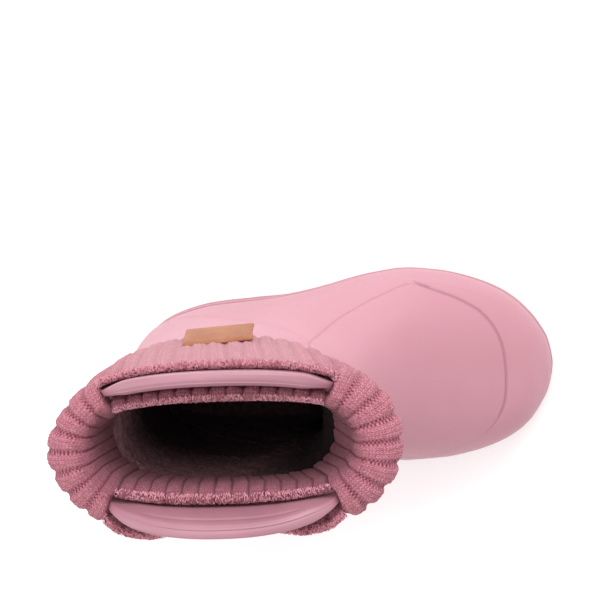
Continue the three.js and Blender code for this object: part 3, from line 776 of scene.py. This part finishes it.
# Share of the length and turn in degrees, then start, end and place across in shares
CROSS_CHANNELS = ((0.100, 4), (0.225, -4), (0.545, -6), (0.615, -3), (0.685, 0), (0.755, 4),
                  (0.825, 8), (0.895, 12))
LONG_CHANNELS = ((0.02, 0.29, 0.16), (0.02, 0.29, -0.16), (0.52, 0.80, 0.20), (0.52, 0.80, -0.20))
OUTLINE_STEPS = 300
SOLE_ACROSS_STEPS = 110
FOOTBED_ACROSS_STEPS = 40


def tread_height(along):
    arch = ARCH_LIFT * ease(0.30, 0.37, along) * (1 - ease(0.45, 0.52, along))
    toe = TOE_SPRING * np.maximum((along - 0.78) / 0.22, 0) ** 2
    heel = HEEL_EDGE_RISE * (1 - ease(-0.01, 0.06, along))
    return arch + toe + heel


def channel_depth(x, y):
    """How far the channels cut up into the tread at a place, their edges a little rounded."""
    depth = np.zeros_like(x)
    edge = 0.5
    for along, turn in CROSS_CHANNELS:
        a = radians(turn)
        off = np.abs((x - along * SOLE_LENGTH) * np.cos(a) + y * np.sin(a))
        depth = np.maximum(depth, 1 - ease(CHANNEL_WIDTH / 2 - edge, CHANNEL_WIDTH / 2 + edge, off))
    for start, end, across in LONG_CHANNELS:
        off = np.abs(y - across * BALL_WIDTH)
        inside = ease(start * SOLE_LENGTH - edge, start * SOLE_LENGTH + edge, x)
        inside = inside * (1 - ease(end * SOLE_LENGTH - edge, end * SOLE_LENGTH + edge, x))
        slot = 1 - ease(CHANNEL_WIDTH / 2 - edge, CHANNEL_WIDTH / 2 + edge, off)
        depth = np.maximum(depth, slot * inside)
    return depth * LUG_DEPTH


def outline_halves(steps=OUTLINE_STEPS):
    rows = np.concatenate((np.linspace(0, 4, steps // 3, endpoint=False),
                           np.linspace(4, OPEN_ROWS, steps - steps // 3)))
    section = sections_at(rows)
    lateral = np.stack((section["seat"], section["foot_lateral"]), -1)
    medial = np.stack((section["seat"], -section["foot_medial"]), -1)
    return lateral, medial


def outline_ring(outset):
    lateral, medial = outline_halves()
    ring = np.concatenate((lateral, medial[-2:0:-1]))
    ahead, behind = np.roll(ring, -1, axis=0), np.roll(ring, 1, axis=0)
    out = np.stack((ahead[:, 1] - behind[:, 1], behind[:, 0] - ahead[:, 0]), -1)
    return ring + outset * out / np.linalg.norm(out, axis=1, keepdims=True)


def filled_rings(rings, across_steps, bottom):
    """Side rings from the top down, with a strip grid over the top and the bottom ring."""
    count = rings.shape[1]
    half = count // 2
    points = [rings.reshape(-1, 3)]
    faces = [grid_faces(len(rings), count, wrap_columns=True)]
    start = rings.shape[0] * count
    index = np.arange(half + 1)
    for ring, height in ((rings[0], None), (rings[-1], bottom)):
        left, right = ring[index], ring[(count - index) % count]
        share = np.linspace(0, 1, across_steps)[None, :, None]
        sheet = left[:, None, :] * (1 - share) + right[:, None, :] * share
        if height is not None:
            sheet[:, 1:-1, 2] = height(sheet[:, 1:-1, 0], sheet[:, 1:-1, 1])
        points.append(sheet.reshape(-1, 3))
        faces.append(grid_faces(half + 1, across_steps, start=start))
        start += sheet.shape[0] * across_steps
    return np.concatenate(points), np.concatenate(faces)


def build_outsole():
    rings = []
    for share, out in SOLE_SIDE:
        ring = outline_ring(SOLE_OVERHANG + out * SIDE_STEP_DEPTH)
        along = ring[:, 0] / SOLE_LENGTH
        top = joint_height(along) - CLEARANCE
        low = tread_height(along)
        cut = low + channel_depth(ring[:, 0], ring[:, 1])
        rings.append(np.column_stack((ring, np.maximum(mix(top, low, share), cut))))

    def bottom(x, y):
        return tread_height(x / SOLE_LENGTH) + channel_depth(x, y)

    points, faces = filled_rings(np.array(rings), SOLE_ACROSS_STEPS, bottom)
    piece = new_piece("tread_sole", points, faces)
    piece.data.materials.append(sole_material())
    return piece


def build_footbed():
    rings = []
    for height, outset in ((INSOLE_THICKNESS, -1.2), (INSOLE_THICKNESS - 0.8, 0), (FOOTBED_LIFT, 0)):
        ring = outline_ring(outset - WALL - INSOLE_INSET)
        rings.append(np.column_stack((ring, joint_height(ring[:, 0] / SOLE_LENGTH) + height)))
    points, faces = filled_rings(np.array(rings), FOOTBED_ACROSS_STEPS, None)
    piece = new_piece("footbed", points, faces)
    piece.data.materials.append(fleece_material())
    return piece


# The fleece lining of the shaft and foot

LINING_STEPS = 150
LINING_WAVES = 26


def build_lining():
    sides, turns = round_turns(LINING_STEPS)
    rows = even_rows(LINING_STEPS, 1.2, RIM_ROW - 1.35)
    closed = rows >= OPEN_ROWS
    skin = skin_grid(rows, sides, turns)
    normals = grid_normals(skin, closed)
    rng = np.random.default_rng(7)
    waves = np.zeros(skin.shape[:2])
    for _ in range(LINING_WAVES):
        way = rng.normal(size=3)
        way /= np.linalg.norm(way)
        waves += np.sin((skin @ way) * rng.uniform(0.5, 1.9) + rng.uniform(0, 2 * pi))
    waves /= LINING_WAVES ** 0.5
    tucked = ease(RIM_ROW - 2.7, RIM_ROW - 2.0, rows)[:, None]
    fluff = LINING_THICKNESS - LINING_TUCK * tucked + LINING_WAVE * waves * (1 - 0.7 * tucked)
    outer = skin - normals * (WALL + LINING_GAP)
    inner = skin - normals * (WALL + fluff)[..., None]
    feet = ~closed
    for grid in (outer, inner):
        for j in (0, -1):
            floor = joint_height(grid[feet, j, 0] / SOLE_LENGTH) + INSOLE_THICKNESS + 0.2
            grid[feet, j, 2] = floor
    piece = wall_piece("fleece_lining", outer, inner, closed)
    piece.data.materials.append(fleece_material())
    return piece


# The knit collar, from its outer hem over the rim to its inner edge. Columns: distance out from
# the shaft's skin, share of the fullness, and height from the rim, for the closed fold at the
# ends, then the same three beside a handle's slit.

FOLD = (
    (1.2, 0.00, -33.5, 1.2, 0.00, -33.5),
    (2.6, 0.00, -35.0, 2.6, 0.00, -35.0),
    (4.2, 0.05, -34.2, 4.2, 0.05, -34.2),
    (4.6, 0.20, -29.0, 4.6, 0.20, -29.0),
    (4.5, 0.45, -21.0, 4.5, 0.45, -21.0),
    (4.4, 0.72, -13.0, 4.4, 0.70, -13.0),
    (4.4, 0.92, -6.0, 4.4, 0.60, -6.0),
    (4.2, 0.92, 0.5, 4.4, 0.30, 0.5),
    (3.8, 0.72, 5.0, 4.3, 0.10, 3.6),
    (2.6, 0.42, 7.9, 3.3, 0.0, 5.6),
    (0.4, 0.15, 9.2, 2.1, 0.0, 4.6),
    (-1.2, 0.0, 9.5, 1.5, 0.0, 1.0),
    (-2.0, 0.0, 9.5, 0.9, 0.0, -5.0),
    (-2.8, 0.0, 9.5, -4.9, 0.0, -5.0),
    (-3.8, 0.0, 9.2, -5.9, 0.0, 1.0),
    (-5.2, 0.10, 8.2, -6.6, 0.0, 4.8),
    (-6.6, 0.30, 5.6, -7.9, 0.35, 6.4),
    (-7.7, 0.60, 1.2, -8.8, 0.75, 4.6),
    (-8.2, 0.85, -5.0, -8.9, 0.95, 0.0),
    (-8.2, 1.00, -12.0, -8.6, 1.00, -9.0),
    (-8.2, 1.00, -19.0, -8.3, 1.00, -18.0),
    (-7.6, 0.95, -22.5, -7.6, 0.95, -22.5),
    (-6.2, 0.90, -23.5, -6.2, 0.90, -23.5),
)
FOLD_SAMPLES = 118
BACK_SAMPLES = 26
RIB_SAMPLES = 16
RIDGE_BUMPS = 3
LOOSE_WAVES = 30
HEM_FLARE = 5.0

# Rows of FOLD where the yarn ridges along a slit run, and their widths in rows
OUTER_RIDGE = 9.2
OUTER_RIDGE_WIDTH = 1.3
MEDIAL_RIDGE = 15.4
LATERAL_RIDGE = 16.8
INNER_RIDGE_WIDTH = 0.95


def fullness_at(values, around):
    return smooth_at(values, around * (len(values) - 1))


def slit_share(around):
    """1 along the handles' slits, 0 round the closed ends of the fold."""
    half = np.where(around < 0.5, around, 1 - around)
    start, end = HANDLE_BACK / 2, HANDLE_FRONT / 2
    reach = 0.012
    opening = ease(start - 0.4 * reach, start + 0.8 * reach, half)
    return opening * (1 - ease(end - 0.8 * reach, end + 0.4 * reach, half))


def fold_points(around, samples):
    at = np.linspace(0, len(FOLD) - 1, samples)
    offset, puff, height, slit_offset, slit_puff, slit_height = (
        smooth_at(column, at)[None, :] for column in np.array(FOLD).T)
    inner = ease(12.5, 15.0, at)[None, :]
    outside = fullness_at(OUTER_FULLNESS, around)[:, None]
    fullness = mix(outside, -fullness_at(INNER_FULLNESS, around)[:, None], inner)
    slit = slit_share(around)[:, None]
    medial = (around > 0.5)[:, None]
    inner_edge = np.where(medial, MEDIAL_RIDGE, LATERAL_RIDGE)
    ridge = slit * (np.exp(-((at - OUTER_RIDGE) / OUTER_RIDGE_WIDTH) ** 2)
                    + np.exp(-((at - inner_edge) / INNER_RIDGE_WIDTH) ** 2))
    half = np.where(around < 0.5, around, 1 - around)[:, None]
    middle, reach = (HANDLE_BACK + HANDLE_FRONT) / 4, (HANDLE_FRONT - HANDLE_BACK) / 4
    endward = np.clip(np.abs(half - middle) / reach, 0, 1)
    flare = END_FLARE * endward ** 2.5 * ease(7, 9, at)[None, :]
    flare = flare * (1 - 0.7 * ease(17, 20, at)[None, :])
    hem = HEM_FLARE * ease(0.2, 0.7, endward) * (1 - 0.6 * ease(0.8, 1, endward))
    flare = flare + medial * hem * (ease(3, 7, at) * (1 - ease(10.5, 12, at)))[None, :]
    return (mix(offset + puff * fullness, slit_offset + slit_puff * fullness + flare, slit),
            mix(height, slit_height, slit), ridge)


def build_collar():
    count = RIB_COUNT * RIB_SAMPLES
    around = np.arange(count) / count
    offset, height, ridge = fold_points(around, FOLD_SAMPLES)
    run_x = np.gradient(offset, axis=1)
    run_z = np.gradient(height, axis=1)
    length = np.hypot(run_x, run_z)
    away_x, away_z = run_z / length, -run_x / length
    across = np.abs((around * RIB_COUNT % 1) - 0.5) * 2
    bulge = 0.45 * (1 - across ** 3) + 0.65 * (1 - ease(0.5, 0.86, across)) - 0.62
    flat_bulge = 0.62 * (1 - ease(0.66, 1.0, across)) - 0.42
    at = np.linspace(0, 1, FOLD_SAMPLES)
    keep = ease(0.0, 0.08, at) * (1 - 0.6 * ease(0.86, 1.0, at))
    outer_side = 1 - ease(0.42, 0.5, at)[None, :]
    inside = ease(0.5, 0.84, at)[None, :]
    profile = mix(bulge[:, None], flat_bulge[:, None], inside)
    facing = (ease(0.04, 0.16, around) * (1 - ease(0.34, 0.46, around)))[:, None]
    stretch = 1 - 0.45 * facing * outer_side
    rng = np.random.default_rng(11)
    loose = np.zeros((count, FOLD_SAMPLES))
    angle = 2 * pi * around[:, None]
    for _ in range(LOOSE_WAVES):
        turns = rng.integers(2, 40)
        loose += np.sin(turns * angle + rng.uniform(4, 40) * at[None, :] + rng.uniform(0, 2 * pi))
    chain = np.abs(np.sin(pi * around[:, None] * RIB_COUNT * RIDGE_BUMPS)) ** 0.6 - 0.6
    rib = RIB_DEPTH * profile * stretch * keep[None, :] * (1 - 0.85 * ridge)
    rib += 0.05 * loose + ridge * (0.8 * chain + 0.3 + rng.normal(0, 0.25, ridge.shape))
    rib += rng.normal(0, 0.12, rib.shape)
    front = shaft_points(around[:, None], offset + away_x * rib,
                         SHAFT_HEIGHT + height + away_z * rib)

    back_at = np.linspace(0, FOLD_SAMPLES - 1, BACK_SAMPLES).round().astype(int)
    back_offset = (offset - away_x * KNIT_THICKNESS)[:, back_at]
    back_height = (height - away_z * KNIT_THICKNESS)[:, back_at]
    back = shaft_points(around[:, None], back_offset, SHAFT_HEIGHT + back_height)

    points = np.concatenate((front, back[:, ::-1]), axis=1)
    columns = points.shape[1]
    faces = grid_faces(count, columns, wrap_rows=True, wrap_columns=True)
    step = np.hypot(np.diff(offset, axis=1), np.diff(height, axis=1))
    run = np.concatenate((np.zeros((count, 1)), np.cumsum(step, axis=1)), axis=1)
    run = np.concatenate((run, run[:, back_at][:, ::-1]), axis=1)
    corner_row = np.stack([np.repeat(np.arange(count) + k, columns) for k in (0, 1, 1, 0)], -1)
    uv = np.stack((corner_row / RIB_SAMPLES, run.ravel()[faces]), -1)
    plain_back = np.zeros((count, columns - FOLD_SAMPLES))
    # Lateral outer flap: painted light in the knit material, and flatter stitches there
    painted_light_flap = facing * (1 - ease(0.33, 0.39, at)[None, :])
    layers = {key: np.concatenate((np.broadcast_to(values, ridge.shape), plain_back), axis=1)
              for key, values in (("ridge", ridge), ("painted_light_flap", painted_light_flap), ("inside", inside))}
    piece = new_piece("knit_collar", points, faces, uv=uv, layers=layers)
    piece.data.materials.append(knit_material())
    return piece, (offset, height, away_x, away_z, ridge)


# Loose yarn loops along the slit's edges

LOOP_COUNT = 4400
LOOP_REACH = 1.2
LOOP_SKEW = 0.45
LOOP_RADIUS = 0.17
LOOP_RINGS = 5


def build_loops(fold):
    offset, height, away_x, away_z, ridge = fold
    count, samples = offset.shape
    rng = np.random.default_rng(23)
    where, at = np.nonzero(ridge > 0.45)
    chosen = rng.choice(len(where), LOOP_COUNT, replace=False)
    where, at = where[chosen].astype(float), at[chosen].astype(float)
    step = np.hypot(np.gradient(offset, axis=1), np.gradient(height, axis=1)).mean()
    sweep = np.linspace(-1, 1, LOOP_RINGS)[None, :]
    reach = LOOP_REACH / step * rng.uniform(0.6, 1.2, LOOP_COUNT)[:, None]
    skew = LOOP_SKEW * count / RIM_LENGTH * rng.uniform(-1, 1, LOOP_COUNT)[:, None]
    i = where[:, None] + skew * sweep
    j = np.clip(at[:, None] + reach * sweep, 0, samples - 1.001)
    i0, j0 = np.round(i).astype(int) % count, np.floor(j).astype(int)
    part = j - j0

    def field(values):
        return mix(values[i0, j0], values[i0, j0 + 1], part)

    lift = rng.uniform(0.3, 0.8, LOOP_COUNT)[:, None] * (1 - sweep ** 2) + 0.1

    def place(extra):
        return shaft_points(i / count, field(offset) + field(away_x) * (lift + extra),
                            SHAFT_HEIGHT + field(height) + field(away_z) * (lift + extra))

    centre = place(0.0)
    normal = place(0.1) - centre
    along = np.gradient(centre, axis=1)
    side = np.cross(along, normal)
    side /= np.linalg.norm(side, axis=2, keepdims=True)
    normal = np.cross(side, along)
    normal /= np.linalg.norm(normal, axis=2, keepdims=True)
    radius = (LOOP_RADIUS * (1 - 0.6 * sweep ** 2))[..., None]
    rings = np.stack([centre + radius * (np.cos(a) * side + np.sin(a) * normal)
                      for a in np.arange(4) * pi / 2], 2)
    last = (LOOP_RINGS - 1) * 4
    one = np.concatenate((grid_faces(LOOP_RINGS, 4, wrap_columns=True),
                          [[3, 2, 1, 0]], [[last, last + 1, last + 2, last + 3]]))
    faces = (one[None] + np.arange(LOOP_COUNT)[:, None, None] * LOOP_RINGS * 4).reshape(-1, 4)
    piece = new_piece("yarn_loops", rings, faces)
    piece.data.materials.append(yarn_material())
    return piece


# The leather tag, its lower edge standing off the knit

def build_tag():
    columns, levels = 40, 22
    across = np.linspace(-1, 1, columns)
    up = np.linspace(0, 1, levels)
    corner = np.minimum(1, (1 - np.abs(across)) * TAG_LENGTH / 2 / TAG_BEVEL)
    rise = np.minimum(np.minimum(up, 1 - up) * TAG_HEIGHT / TAG_BEVEL, 1)
    full = np.sqrt(1 - (1 - np.minimum(corner[:, None], rise[None, :])) ** 2)
    around = TAG_AROUND + across[:, None] * TAG_LENGTH / 2 / RIM_LENGTH
    drop = mix(*TAG_LEVELS, up)[None, :] - TAG_SLOPE * across[:, None]
    stand = mix(*TAG_STAND, up ** 1.2)[None, :] + 0.5 * across[:, None] ** 2
    stand = stand + 0.7 * across[:, None]
    faces_at = []
    for side in (1, -1):
        offset = stand + side * TAG_THICKNESS / 2 * (0.35 + 0.65 * full)
        faces_at.append(shaft_points(around, offset, SHAFT_HEIGHT + drop))
    front, back = faces_at
    points = np.concatenate((front.reshape(-1, 3), back.reshape(-1, 3)))
    size = columns * levels
    faces = [grid_faces(columns, levels), grid_faces(columns, levels, start=size)[:, ::-1]]
    loop = [(i, 0) for i in range(columns)]
    loop += [(columns - 1, j) for j in range(1, levels)]
    loop += [(i, levels - 1) for i in range(columns - 2, -1, -1)]
    loop += [(0, j) for j in range(levels - 2, 0, -1)]
    index = np.array([i * levels + j for i, j in loop])
    after = np.roll(index, -1)
    faces.append(np.stack((index, after, after + size, index + size), -1))
    piece = new_piece("leather_tag", points, np.concatenate(faces))
    piece.data.materials.append(leather_material())
    return piece


# Studio. The camera's place is in millimetres, and the lights' places and sizes are in metres.

CAMERA_PLACE = (188.219, 240.381, 1201.328)
CAMERA_RIGHT = (0.994917, -0.052579, -0.085836)
CAMERA_UP = (0.036729, 0.983561, -0.176770)
FOCAL_PIXELS = 2725.5
FRAME_PIXELS = 600
SENSOR = 36
FLOOR_SIZE = 6
WORLD_STRENGTH = 0.77
LIGHT_AIM = (0.06, 0, 0.09)
LIGHTS = (
    ("key", (0.34, 1.15, 0.95), 0.8, 14),
    ("top", (-0.1, 0.4, 1.7), 1.2, 7),
    ("fill", (-0.8, -0.35, 0.9), 0.9, 4.2),
)


def add_camera():
    data = bpy.data.cameras.new("photo_view")
    data.sensor_width = SENSOR
    data.lens = FOCAL_PIXELS * SENSOR / FRAME_PIXELS
    camera = bpy.data.objects.new("photo_view", data)
    right = Vector(CAMERA_RIGHT).normalized()
    up = Vector(CAMERA_UP)
    up = (up - right * up.dot(right)).normalized()
    back = right.cross(up)
    place = Vector(to_frame([CAMERA_PLACE])[0])
    turn = Matrix((right, up, back)).transposed()
    camera.matrix_world = Matrix.Translation(place) @ turn.to_4x4()
    bpy.context.scene.collection.objects.link(camera)
    bpy.context.scene.camera = camera


def add_light(name, place, size, power):
    data = bpy.data.lights.new(name, "AREA")
    data.size = size
    data.energy = power
    light = bpy.data.objects.new(name, data)
    light.location = place
    away = Vector(place) - Vector(LIGHT_AIM)
    light.rotation_euler = away.to_track_quat("Z", "Y").to_euler()
    bpy.context.scene.collection.objects.link(light)


def add_studio():
    bpy.ops.mesh.primitive_plane_add(size=FLOOR_SIZE, location=(0, 0, 0))
    floor = bpy.context.object
    floor.name = "studio_floor"
    floor.data.materials.append(floor_material())
    world = bpy.data.worlds.new("studio")
    world.use_nodes = True
    background = world.node_tree.nodes["Background"]
    background.inputs["Color"].default_value = (1, 1, 1, 1)
    background.inputs["Strength"].default_value = WORLD_STRENGTH
    bpy.context.scene.world = world
    for light in LIGHTS:
        add_light(*light)
    bpy.context.scene.view_settings.view_transform = "Standard"


add_camera()
add_studio()

shell = build_shell()
handle_lateral = build_handle("handle_lateral", False)
handle_medial = build_handle("handle_medial", True)
lining = build_lining()
outsole = build_outsole()
footbed = build_footbed()
collar, fold = build_collar()
loops = build_loops(fold)
tag = build_tag()

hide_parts("upper")
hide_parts("upper")
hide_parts("upper")
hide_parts("outsole")
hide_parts("insole")
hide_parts("collar")
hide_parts("collar")
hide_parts("tag")
